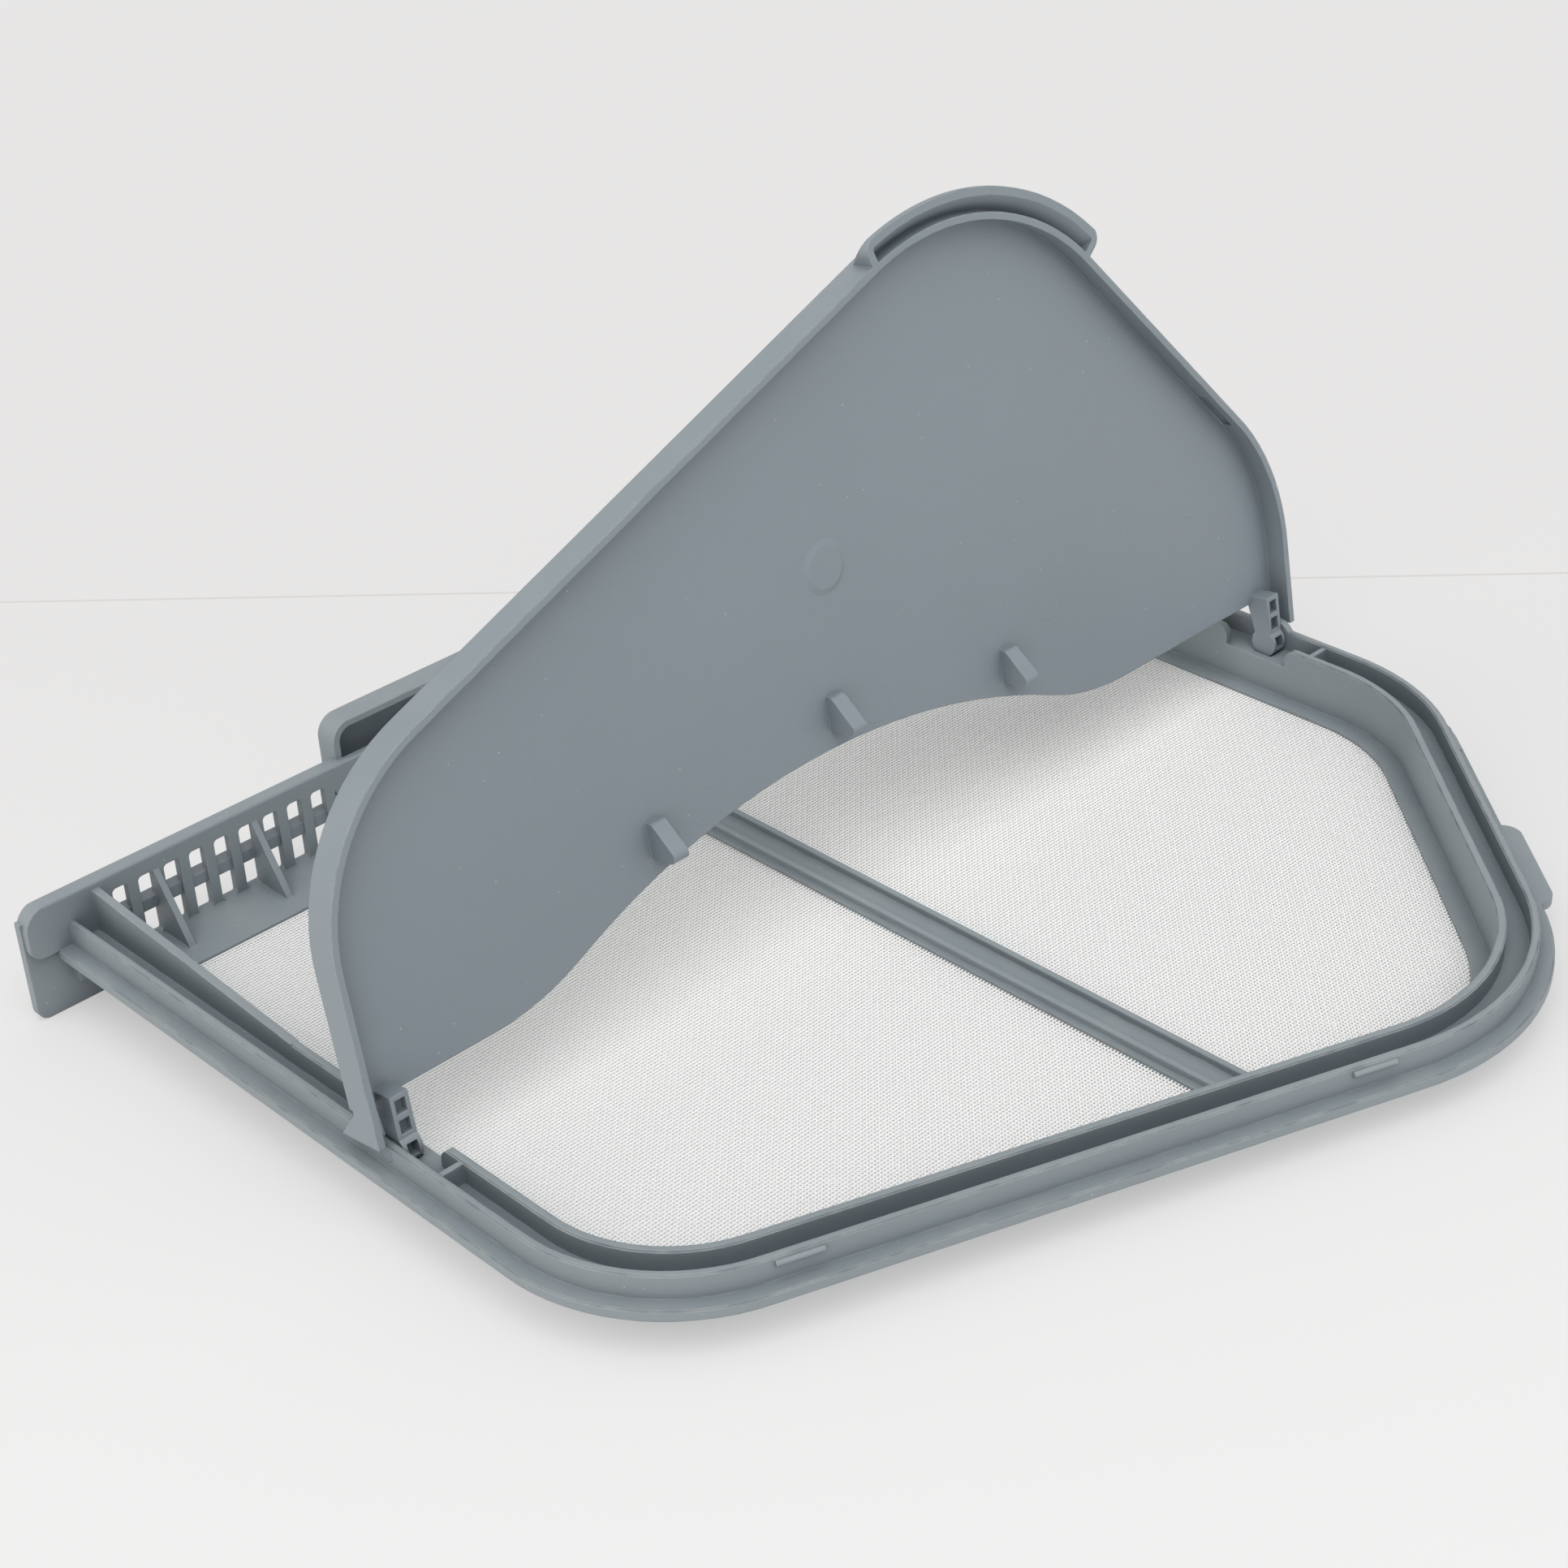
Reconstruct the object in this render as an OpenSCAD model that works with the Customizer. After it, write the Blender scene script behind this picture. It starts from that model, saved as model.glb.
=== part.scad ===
// Lint filter of a tumble dryer, lid open: a moulded frame with two mesh panels
// and a hinged lid whose skirt closes over the frame's double rim.
// Millimetres. X runs along the hinge, Y towards the front wall, Z up.
// The origin lies on the table under the middle of the whole part.

/* [Frame outline] */
// Half the distance between the inner faces of the two side walls
half_width = 131; // [127:0.5:135]
// Distance from the hinge axis to the inside of the front wall
front_reach = 114.4; // [111:0.2:118]
// Distance from the hinge axis to the left corner of the outline
left_corner_reach = 63.1; // [59:0.1:67]
// Sideways place of the outermost corner of the outline
apex_x = 53.5; // [48:0.5:58]
// Distance from the hinge axis to the outermost corner
apex_reach = 131.6; // [128:0.2:135]
// Distance from the hinge axis to the right corner of the outline
right_corner_reach = 40.6; // [37:0.2:44]
// Corner radius of the inner wall at the left corner
left_corner_radius = 32; // [28:0.5:36]
// Corner radius of the inner wall at the outermost corner
apex_radius = 47; // [43:0.5:51]
// Corner radius of the inner wall at the right corner
right_corner_radius = 44; // [40:0.5:48]

/* [Rim section] */
// Thickness of the inner wall
inner_wall = 2; // [1.6:0.1:2.2]
// Clear width of the channel between the two walls
channel_gap = 5.1; // [4.9:0.1:5.6]
// Thickness of the outer wall
outer_wall = 1.8; // [1.5:0.1:2]
// How far the flange stands out from the outer wall
flange_reach = 3.4; // [3:0.1:3.8]
// Thickness of the flange, its edge is fully rounded
flange_thickness = 2.7; // [2.4:0.1:3]
// Height of the flange's top face over the foot of the frame
flange_top = 10.2; // [9.8:0.1:10.4]
// Height of the channel floor over the foot of the frame
channel_floor = 10.5; // [10.3:0.1:10.8]
// Thickness of the channel floor
floor_thickness = 2.2; // [1.8:0.1:2.5]
// Height of the inner wall over the foot of the frame
wall_height = 15.5; // [15.3:0.1:15.7]
// Height of the outer wall over the foot of the frame
outer_height = 15.7; // [15.4:0.05:15.7]
// Size of the fine step along the edges of the walls and the flange
lip_step = 0.3; // [0.2:0.05:0.4]
// Extra height of the side walls where they meet the front wall
wall_rise = 5.3; // [4.5:0.1:6]
// Distance in front of the hinge axis where the side walls start to rise
rise_start = 41; // [38:0.5:44]

/* [Ledge and mesh] */
// Width of the ledge that carries the mesh along the curved rim
ledge_width = 4.5; // [4:0.1:5]
// Width of the ledge along the front wall
front_ledge = 16.5; // [15:0.5:18]
// Thickness of the ledge
ledge_thickness = 2.2; // [2:0.1:2.5]
// Height of the mesh's underside over the foot of the frame
mesh_level = 0.9; // [0.8:0.05:1]
// Thickness of the mesh sheet
mesh_thickness = 0.5; // [0.4:0.05:0.6]
// How far the mesh reaches into the groove of the ledge
mesh_tuck = 1.2; // [0.8:0.1:1.6]
// Rows of openings from the front ledge to the outermost corner
gap_rows = 12; // [10:1:12]
// Columns of openings in one mesh panel
gap_columns = 12; // [10:1:12]
// Opening size as a share of the row and column distance
gap_share = 0.6; // [0.5:0.05:0.7]

/* [Centre bar] */
// Sideways place of the centre bar's middle
bar_x = -2; // [-6:0.5:2]
// Width of the centre bar
bar_width = 10; // [9:0.5:11]
// Height of the two ridges of the centre bar over the foot
bar_height = 3.9; // [3.4:0.1:4.4]
// Thickness of one ridge of the centre bar
bar_ridge = 1.5; // [1.2:0.1:1.8]
// Width of the low lip on the left of the centre bar
bar_lip = 1.6; // [1.2:0.1:2]

/* [Front wall] */
// Half the length of the front wall
front_half = 150; // [147:0.5:153]
// Height of the front wall over the foot of the frame
front_top = 22.5; // [22:0.1:23]
// Height of the lower edge of the front plate at its ends
front_plate_foot = 10; // [9.5:0.1:10.2]
// Thickness of the front plate that faces the mesh
front_plate = 2; // [1.8:0.1:2.2]
// Thickness of the back plate behind it
back_plate = 2.2; // [2:0.1:2.4]
// How far the back plate drops below the foot of the frame
skirt_drop = 6.5; // [6:0.1:7]
// Height of the moulding step at the ends of the back plate
end_step_height = 19.2; // [18.5:0.1:19.5]
// Width of that moulding step
end_step = 0.4; // [0.3:0.05:0.5]
// Radius of the upper corners of the front wall
front_corner_radius = 5.5; // [4.5:0.1:6]
// Radius of the lower corners of the front wall
foot_corner_radius = 3; // [2.5:0.1:3.5]

/* [Air grille] */
// Number of full slots in one grille
slot_count = 9; // [8:1:9]
// Distance from the middle of the part to the outer edge of the first slot
slot_start = 128.2; // [127.5:0.1:128.6]
// Distance between two slots
slot_pitch = 6.75; // [6.7:0.01:6.8]
// Width of one slot
slot_width = 4.1; // [3.8:0.1:4.3]
// Height of the upper row's top edge
slot_top = 18.5; // [18:0.1:19]
// Height of the top face of the cross bar between the rows
cross_top = 11.7; // [11.4:0.1:12]
// Height of the underside of the cross bar
cross_foot = 8.7; // [8.4:0.1:9]
// How far the cross bar stands back from the upright bars
cross_setback = 0.8; // [0.6:0.1:1]
// Corner radius of the slots
slot_radius = 1.1; // [0.8:0.1:1.3]
// Width of the last opening at its foot
last_width = 8.6; // [8:0.1:9]
// Thickness of the gusset ribs on the front wall
gusset_thickness = 1.6; // [1.4:0.1:1.8]
// Distance of the gusset's foot from the front wall
gusset_reach = 10.5; // [9.5:0.1:11.5]
// Distances of the gusset ribs from the middle of the part
gusset_places = [116.6, 90, 49.3];

/* [Grip on the front wall] */
// Half the length of the raised grip
grip_half = 64.5; // [62:0.5:67]
// Height of the grip over the foot of the frame
grip_top = 31.3; // [30.5:0.1:32.5]
// Height of the grip's lower end
grip_foot = 7.6; // [7:0.1:8.2]
// Depth of the grip behind the front plate
grip_depth = 6.4; // [6.2:0.1:6.8]
// Wall thickness of the grip
grip_wall = 1.6; // [1.4:0.1:1.8]
// Outer corner radius of the grip
grip_radius = 5; // [4.5:0.1:5.5]

/* [Hinge] */
// Height of the hinge axis over the foot of the frame
axle_height = 13.2; // [13:0.05:13.4]
// Diameter of the hinge pins
pin_diameter = 3.6; // [3.4:0.1:3.8]
// Gap between a pin and its hole, all round
pin_clearance = 0.08; // [0.04:0.01:0.1]
// Radius of the lid's hinge eye around the axis
eye_radius = 3.5; // [3.3:0.05:3.6]
// Gap on either side of the hinge arm in the channel
arm_clearance = 0.35; // [0.3:0.05:0.4]
// Radius of the raised ear of the outer wall around the pin
ear_radius = 4.6; // [4.2:0.1:5]
// Length of the scoop in the left inner wall behind the hinge
left_scoop_back = 18.8; // [17:0.2:21]
// Length of the scoop in the right inner wall behind the hinge
right_scoop_back = 9.8; // [9:0.2:12]
// Length of both scoops in front of the hinge
scoop_front = 8.4; // [8:0.1:9]
// Rounding at the ends of the scoops
scoop_radius = 3; // [2.5:0.1:3.4]
// Distance of the cross rib in the channel from the hinge axis
channel_rib_reach = 15.6; // [14.6:0.2:16.6]
// Thickness of the cross rib in the channel
channel_rib = 1.3; // [1.1:0.1:1.5]

/* [Catches and tab] */
// Length of one snap rib on the outer wall
snap_length = 10; // [8:0.5:12]
// How far a snap rib stands out
snap_height = 0.9; // [0.7:0.05:1]
// Width of a snap rib up the wall
snap_width = 1.3; // [1.1:0.1:1.5]
// Depth of a snap rib's middle below the top of the outer wall
snap_depth = 1.4; // [1.2:0.1:1.6]
// Places of two snap ribs along the long slanted edge and one along the short one, as shares
snap_shares = [0.05, 0.925, 0.92];
// Share of the short slanted edge where the tab's middle lies
tab_share = 0.25; // [0.24:0.01:0.3]
// Length of the tab along the edge
tab_length = 32; // [30:0.5:33]
// How far the tab stands out beyond the flange
tab_reach = 3.4; // [2:0.2:5]
// Thickness of the tab
tab_thickness = 2; // [1.6:0.1:2.2]
// Corner radius of the tab
tab_radius = 4.4; // [3.6:0.2:5]

/* [Lid] */
// Opening angle of the lid from closed to its stop
open_angle = 98.5; // [95:0.5:102]
// Height of the lid plate's inner face over the foot of the frame, closed
lid_level = 16; // [15.9:0.05:16.2]
// Thickness of the lid plate
lid_thickness = 2; // [1.8:0.1:2.2]
// Thickness of the lid's skirt
skirt_thickness = 1.6; // [1.4:0.1:1.8]
// Gap between the snap ribs and the skirt
skirt_clearance = 0.3; // [0.25:0.05:0.4]
// Gap between the skirt's free edge and the flange, closed
skirt_foot_gap = 0.3; // [0.2:0.05:0.4]
// Distance of the plate's straight shoulders from the hinge axis
shoulder_reach = 10.2; // [9.5:0.1:11]
// Distance of the arch's crown from the hinge axis
arch_reach = 31; // [29:0.2:33]
// Radius of the arch
arch_radius = 175; // [170:1:182]
// Sideways place of the arch's middle
arch_x = -12; // [-14:0.5:-6]
// Radius of the blend between arch and shoulder
arch_blend = 60; // [50:1:70]
// Distance from the hinge axis to the feet of the skirt at its free edge
skirt_foot_reach = 3; // [2.8:0.1:3.4]
// Size of the slanted heel behind the feet of the skirt
heel = 5; // [4:0.5:6]
// Outer offset of the lid's grip from the inner wall line
lid_grip_offset = 17.1; // [16.6:0.1:17.6]
// Wall thickness of the lid's grip
lid_grip_wall = 1.8; // [1.6:0.1:2]
// Rounding of the grip's ends
lid_grip_radius = 3; // [2.6:0.2:4]
// Height of the upright rim along the grip's free edge
lid_grip_rim = 1.2; // [1:0.1:1.5]
// Distance between the stop ribs on the lid
rib_pitch = 53.4; // [51:0.2:56]
// Sideways place of the middle stop rib
rib_x = -6; // [-8:0.5:-4]
// Length of a stop rib
rib_length = 8; // [7.5:0.1:9]
// Width of a stop rib
rib_width = 4; // [3.6:0.1:4.4]
// Height of a stop rib over the lid's plate
rib_height = 7.6; // [7:0.1:8.4]
// Distance between a stop rib and the edge of the arch
rib_setback = 4.2; // [3.8:0.1:4.8]
// Height of a stop rib at its end away from the hinge
rib_crest = 2.6; // [2.2:0.1:3]
// Rounding of a stop rib's two corners
rib_round = 1.5; // [1.2:0.1:1.8]
// Diameter of the round pad on the lid
pad_diameter = 12.2; // [11:0.2:13]
// Height of the round pad
pad_height = 0.5; // [0.3:0.05:0.7]
// Width of the sloped edge round the pad
pad_bevel = 1.4; // [1:0.1:1.8]
// Place of the round pad, sideways and from the hinge axis
pad_place = [-2.6, 71.4];
// Length of the hinge arm on the lid
arm_length = 12.3; // [11.6:0.1:12.4]
// Wall left beside the pockets in the hinge arm
arm_wall = 0.9; // [0.7:0.05:1]
// Length of one pocket in the hinge arm
pocket_length = 3.1; // [2.8:0.1:3.4]
// Depth of the pockets in the hinge arm
pocket_depth = 1.8; // [1.4:0.1:2.2]
// Distances of the pockets from the hinge axis, towards the lid
pocket_places = [-11.2, -6.7, -1.6];

/* [Hidden] */
$fn = 96;
over = 1;
// Every rounded corner swells by this much, so that arc and edge cross cleanly.
bulge = 0.01;
plastic = [0.50, 0.55, 0.58];
nylon = [0.93, 0.93, 0.92];

// The rim's line is the inner wall's face, and offsets run outwards from it.
outer_inside = inner_wall + channel_gap;
outer_outside = outer_inside + outer_wall;
rim_outside = outer_outside + flange_reach;
skirt_inside = outer_outside + snap_height + skirt_clearance;
skirt_outside = skirt_inside + skirt_thickness;
front_back = front_reach + front_plate + back_plate;
skirt_foot = flange_top + skirt_foot_gap;

line = [
    [-half_width, front_reach],
    [-half_width, -left_corner_reach],
    [apex_x, -apex_reach],
    [half_width, -right_corner_reach],
    [half_width, front_reach]
];
radii = [0, left_corner_radius, apex_radius, right_corner_radius];

function unit(v) = v / norm(v);
function heading(i) = unit(line[i + 1] - line[i]);
function outward(i) = [heading(i)[1], -heading(i)[0]];
function bearing(i) = atan2(outward(i)[1], outward(i)[0]);
function centre(k) = line[k] - radii[k] * (outward(k - 1) + outward(k))
    / (1 + outward(k - 1) * outward(k));
function turn(k) = acos(outward(k - 1) * outward(k));
function arrive(k) = centre(k) + radii[k] * outward(k - 1);
function leave(k) = centre(k) + radii[k] * outward(k);
function edge_start(i) = i == 0 ? line[0] : leave(i);
function edge_end(i) = i == 3 ? line[4] : arrive(i + 1);
function on_edge(i, share) = edge_start(i) + share * (edge_end(i) - edge_start(i));

// The frame rests on the foot of the front wall and on its far rounded end.
far_end = apex_radius + inner_wall - centre(2)[1];
rest_tilt = atan2(skirt_drop, front_reach + front_plate + far_end);
seat_lift = far_end * sin(rest_tilt) + axle_height * cos(rest_tilt);
footprint_far = far_end - inner_wall + rim_outside;
footprint_middle = (front_reach + front_plate + grip_depth - footprint_far) / 2;

module seated() {
    translate([0, -footprint_middle, seat_lift])
    rotate([rest_tilt, 0, 0])
    translate([0, 0, -axle_height])
    children();
}

// Runs a section along one straight edge between two points of it.
module along_edge(i, from, to) {
    translate([to[0], to[1], 0])
    rotate([90, 0, bearing(i)])
    linear_extrude(height = norm(to - from))
    children();
}

// The area inside the rim's line moved outwards by the given offset.
module rim_area(offset_out, left_y, right_y) {
    polygon([
        [-half_width - offset_out, left_y],
        for (k = [1:3], i = [k - 1, k]) centre(k) + (radii[k] + offset_out) * outward(i),
        [half_width + offset_out, right_y]
    ]);
    for (k = [1:3])
        translate(centre(k))
        circle(r = radii[k] + offset_out + bulge);
}

// A panel with rounded corners, lower radius first.
module panel(x0, x1, z0, z1, low, high) {
    polygon([
        [x0 + low, z0], [x1 - low, z0], [x1, z0 + low], [x1, z1 - high],
        [x1 - high, z1], [x0 + high, z1], [x0, z1 - high], [x0, z0 + low]
    ]);
    for (x = [x0 + low, x1 - low])
        translate([x, z0 + low])
        circle(r = low);
    for (x = [x0 + high, x1 - high])
        translate([x, z1 - high])
        circle(r = high);
}

// Stands a drawing up between two Y planes.
module upright(y0, y1) {
    translate([0, y1, 0])
    rotate([90, 0, 0])
    linear_extrude(height = y1 - y0)
    children();
}

// Stands a drawing of Y and Z up between two X planes.
module sideways(x0, x1) {
    translate([x0, 0, 0])
    rotate([90, 0, 90])
    linear_extrude(height = x1 - x0)
    children();
}

// A wall round the whole rim between two offsets and two heights, open in front.
module rim_band(inside, outside, z0, z1, left_y, right_y) {
    translate([0, 0, z0])
    linear_extrude(height = z1 - z0)
    difference() {
        rim_area(outside, left_y, right_y);
        rim_area(inside, left_y + over, right_y + over);
    }
}

// The double rim: ledge with its groove, two walls with stepped lips, channel and flange.
module rim() {
    end = front_reach + front_plate / 2;
    lip = lip_step;
    rim_band(-ledge_width, 0, 0, mesh_level, end, end);
    rim_band(mesh_tuck - ledge_width, 0, mesh_level, mesh_level + mesh_thickness, end, end);
    rim_band(-ledge_width, 0, mesh_level + mesh_thickness, ledge_thickness, end, end);
    rim_band(0, inner_wall, 0, wall_height - lip, end, end);
    rim_band(lip, inner_wall - lip, wall_height - lip, wall_height, end, end);
    rim_band(inner_wall, outer_outside, channel_floor - floor_thickness, channel_floor, end, end);
    rim_band(outer_inside, outer_outside, channel_floor, outer_height - lip, end, end);
    rim_band(outer_inside + lip, outer_outside - lip, outer_height - lip, outer_height, end, end);
    rim_band(outer_outside, rim_outside - lip, flange_top - flange_thickness, flange_top, end, end);
    rim_band(rim_outside - lip, rim_outside, flange_top - flange_thickness + lip,
        flange_top - lip, end, end);
}

// The part of the ledge along the front wall, with its groove.
module front_ledge_body() {
    ledge_edge = front_reach - front_ledge;
    difference() {
        translate([-half_width, ledge_edge, 0])
        cube([half_width + half_width, front_ledge, ledge_thickness]);
        translate([-half_width + ledge_width - mesh_tuck, ledge_edge - over, mesh_level])
        cube([half_width + half_width - ledge_width - ledge_width + mesh_tuck + mesh_tuck,
            mesh_tuck + over, mesh_thickness]);
    }
}

// The centre bar is a channel with a low lip on its left and a groove on either side.
module centre_bar() {
    length = front_reach - front_ledge + apex_reach;
    half = bar_width / 2;
    intersection() {
        translate([bar_x, front_reach - front_ledge + mesh_tuck, 0])
        rotate([90, 0, 0])
        linear_extrude(height = length)
        difference() {
            union() {
                translate([-half, 0])
                square([bar_width, ledge_thickness]);
                for (x = [-half + bar_lip, half - bar_ridge])
                    panel(x, x + bar_ridge, 0, bar_height, 0, bar_ridge / 4);
            }
            for (x = [-half - over, half - mesh_tuck])
                translate([x, mesh_level])
                square([mesh_tuck + over, mesh_thickness]);
        }
        linear_extrude(height = bar_height + over)
        rim_area(inner_wall / 2, front_reach, front_reach);
    }
}

// The side walls climb towards the front wall.
module wall_ramps() {
    for (x = [-half_width - inner_wall, half_width])
        sideways(x, x + inner_wall)
        polygon([
            [rise_start, wall_height - lip_step],
            [front_reach, wall_height - lip_step],
            [front_reach, wall_height + wall_rise],
            [rise_start, wall_height]
        ]);
}

// A scoop of the inner wall, drawn in Y and Z, with rounded ends and foot.
module scoop(back) {
    depth = wall_height - channel_floor;
    difference() {
        translate([-scoop_front - scoop_radius, channel_floor])
        square([back + scoop_front + scoop_radius + scoop_radius, depth + over]);
        for (y = [-scoop_front - scoop_radius, back + scoop_radius])
            translate([y, wall_height - scoop_radius])
            circle(r = scoop_radius);
        translate([-scoop_front - scoop_radius - over, channel_floor - over])
        square([scoop_radius + over, depth + over - scoop_radius]);
        translate([back, channel_floor - over])
        square([scoop_radius + over, depth + over - scoop_radius]);
    }
}

module scoops() {
    sideways(-half_width - inner_wall - arm_clearance, -half_width + over)
    scoop(left_scoop_back);
    sideways(half_width - over, half_width + inner_wall + arm_clearance)
    scoop(right_scoop_back);
}

// Raised ear of the outer wall around the right hinge pin.
module ear() {
    translate([half_width + outer_inside, 0, axle_height])
    rotate([0, 90, 0])
    cylinder(r = ear_radius, h = outer_wall);
}

// Wells in the channel floor that clear the lid's hinge eyes.
module eye_wells() {
    for (x = [-half_width - outer_inside, half_width + inner_wall])
        translate([x, 0, axle_height])
        rotate([0, 90, 0])
        cylinder(r = eye_radius + arm_clearance, h = channel_gap);
}

module pin_holes() {
    for (x = [-half_width - outer_outside - over, half_width + outer_inside - over])
        translate([x, 0, axle_height])
        rotate([0, 90, 0])
        cylinder(r = pin_diameter / 2 + pin_clearance, h = outer_wall + over + over);
}

// Cross ribs in the channel beside the hinges.
module channel_ribs() {
    for (x = [-half_width - outer_inside - over / 2, half_width + inner_wall - over / 2])
        translate([x, -channel_rib_reach, channel_floor - over])
        cube([channel_gap + over, channel_rib, wall_height - channel_floor - lip_step + over]);
}

// One snap rib: a half round ridge along an edge.
module snap_rib(i, share) {
    middle = on_edge(i, share);
    from = middle - heading(i) * snap_length / 2;
    to = middle + heading(i) * snap_length / 2;
    along_edge(i, from, to)
    intersection() {
        translate([outer_outside + snap_height - snap_width / 2, outer_height - snap_depth])
        circle(r = snap_width / 2);
        translate([outer_outside - outer_wall / 2, 0])
        square([snap_height + outer_wall, outer_height]);
    }
}

// The pull tab beside the rounded end.
module tab() {
    middle = on_edge(2, tab_share);
    inside = outer_outside - outer_wall / 2;
    translate([middle[0], middle[1], flange_top - tab_thickness])
    rotate([0, 0, bearing(2)])
    linear_extrude(height = tab_thickness)
    union() {
        translate([inside, -tab_length / 2])
        square([rim_outside + tab_reach - tab_radius - inside, tab_length]);
        translate([inside, -tab_length / 2 + tab_radius])
        square([rim_outside + tab_reach - inside, tab_length - tab_radius - tab_radius]);
        for (y = [-tab_length / 2 + tab_radius, tab_length / 2 - tab_radius])
            translate([rim_outside + tab_reach - tab_radius, y])
            circle(r = tab_radius + bulge);
    }
}

// Outline of the last opening, cut off by a slanted edge.
module last_opening() {
    x = -slot_start + slot_count * slot_pitch;
    intersection() {
        panel(x, x + last_width, ledge_thickness, slot_top, slot_radius, slot_radius);
        polygon([
            [x, ledge_thickness],
            [x + last_width, ledge_thickness],
            [x + last_width, ledge_thickness + slot_radius],
            [x, slot_top - slot_radius - slot_radius]
        ]);
    }
}

// All openings of one grille, drawn as full height slots.
module grille_openings() {
    for (i = [0:slot_count - 1])
        translate([-slot_start + i * slot_pitch, 0])
        panel(0, slot_width, ledge_thickness, slot_top, slot_radius, slot_radius);
    last_opening();
}

// The cross bar that stays between the two rows.
module cross_band() {
    translate([-front_half, cross_foot])
    square([front_half, cross_top - cross_foot]);
}

// Cuts of one grille: shallow over the full height, through above and below the bar.
module grille_cut() {
    upright(front_reach - over, front_reach + cross_setback)
    grille_openings();
    upright(front_reach - over, front_back + over)
    difference() {
        grille_openings();
        cross_band();
    }
    window_end = -slot_start + slot_count * slot_pitch + last_width;
    upright(front_reach + front_plate, front_back + over)
    difference() {
        panel(-slot_start - slot_radius, window_end + slot_radius,
            ledge_thickness - mesh_tuck, slot_top + slot_radius / 2, slot_radius, slot_radius);
        cross_band();
    }
}

// The front plate, cut from a bar with rounded upper edges.
module front_wall() {
    edge = front_plate / 3;
    intersection() {
        union() {
            upright(front_reach, front_back)
            panel(-front_half, front_half, front_plate_foot, front_top,
                foot_corner_radius, front_corner_radius);
            upright(front_reach, front_back)
            translate([-half_width - outer_outside, 0])
            square([half_width + half_width + outer_outside + outer_outside,
                front_plate_foot + foot_corner_radius]);
            upright(front_reach + front_plate, front_back)
            panel(-front_half - end_step, front_half + end_step, -skirt_drop, end_step_height,
                foot_corner_radius, end_step);
        }
        sideways(-front_half - over, front_half + over)
        union() {
            translate([front_reach, -skirt_drop])
            square([front_plate + back_plate, front_top + skirt_drop - edge]);
            translate([front_reach + edge, 0])
            square([front_plate + back_plate - edge - edge, front_top]);
            for (y = [front_reach + edge, front_back - edge])
                translate([y, front_top - edge])
                circle(r = edge);
        }
    }
}

// The hollow of the grip, open towards the lid above the front plate.
module grip_hollow() {
    upright(front_reach + front_plate, front_reach + front_plate + grip_depth - grip_wall)
    panel(-grip_half + grip_wall, grip_half - grip_wall, grip_foot + grip_wall, grip_top - grip_wall,
        grip_radius - grip_wall, grip_radius - grip_wall);
}

module grip() {
    upright(front_reach + front_plate, front_reach + front_plate + grip_depth)
    panel(-grip_half, grip_half, grip_foot, grip_top, grip_radius, grip_radius);
}

// Gusset ribs between the front wall and its ledge, the same on both halves.
module gussets() {
    for (x = gusset_places, side = [-1, 1])
        translate([side * x, 0, 0])
        sideways(-gusset_thickness / 2, gusset_thickness / 2)
        polygon([
            [front_reach + front_plate / 2, 0],
            [front_reach - gusset_reach, 0],
            [front_reach - gusset_reach, ledge_thickness],
            [front_reach, slot_top],
            [front_reach + front_plate / 2, slot_top]
        ]);
}

module frame() {
    color(plastic)
    seated()
    difference() {
        union() {
            difference() {
                union() {
                    rim();
                    wall_ramps();
                }
                scoops();
            }
            front_ledge_body();
            centre_bar();
            ear();
            channel_ribs();
            snap_rib(1, snap_shares[0]);
            snap_rib(1, snap_shares[1]);
            snap_rib(2, snap_shares[2]);
            tab();
            difference() {
                union() {
                    front_wall();
                    grip();
                }
                grip_hollow();
                grille_cut();
                mirror([1, 0, 0])
                grille_cut();
            }
            gussets();
        }
        pin_holes();
        eye_wells();
    }
}

// Area of one mesh panel between two X limits, up to its tuck into the ledge.
module mesh_area(x0, x1) {
    edge = front_reach - front_ledge + mesh_tuck;
    intersection() {
        rim_area(mesh_tuck - ledge_width, front_reach, front_reach);
        translate([x0, -apex_reach - over])
        square([x1 - x0, apex_reach + over + edge]);
    }
}

// One sheet with a plain grid of openings that stops short of the ledge.
module mesh_panel(x0, x1) {
    edge = front_reach - front_ledge;
    first = max(x0 + mesh_tuck, ledge_width - half_width);
    last = min(x1 - mesh_tuck, half_width - ledge_width);
    wide = (last - first) / gap_columns;
    deep = (edge + apex_reach - ledge_width) / gap_rows;
    margin = wide * (1 - gap_share) / 4;
    difference() {
        linear_extrude(height = mesh_thickness)
        mesh_area(x0, x1);
        translate([0, 0, -over])
        linear_extrude(height = mesh_thickness + over + over)
        intersection() {
            rim_area(-ledge_width - margin, edge, edge);
            for (i = [0:gap_columns - 1], j = [0:gap_rows - 1])
                translate([
                    first + (i + 1 / 2 - gap_share / 2) * wide,
                    edge - (j + 1 / 2 + gap_share / 2) * deep
                ])
                square([wide * gap_share, deep * gap_share]);
        }
    }
}

module mesh_left() {
    color(nylon)
    seated()
    translate([0, 0, mesh_level])
    mesh_panel(-half_width, bar_x - bar_width / 2 + mesh_tuck);
}

module mesh_right() {
    color(nylon)
    seated()
    translate([0, 0, mesh_level])
    mesh_panel(bar_x + bar_width / 2 - mesh_tuck, half_width);
}

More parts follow.
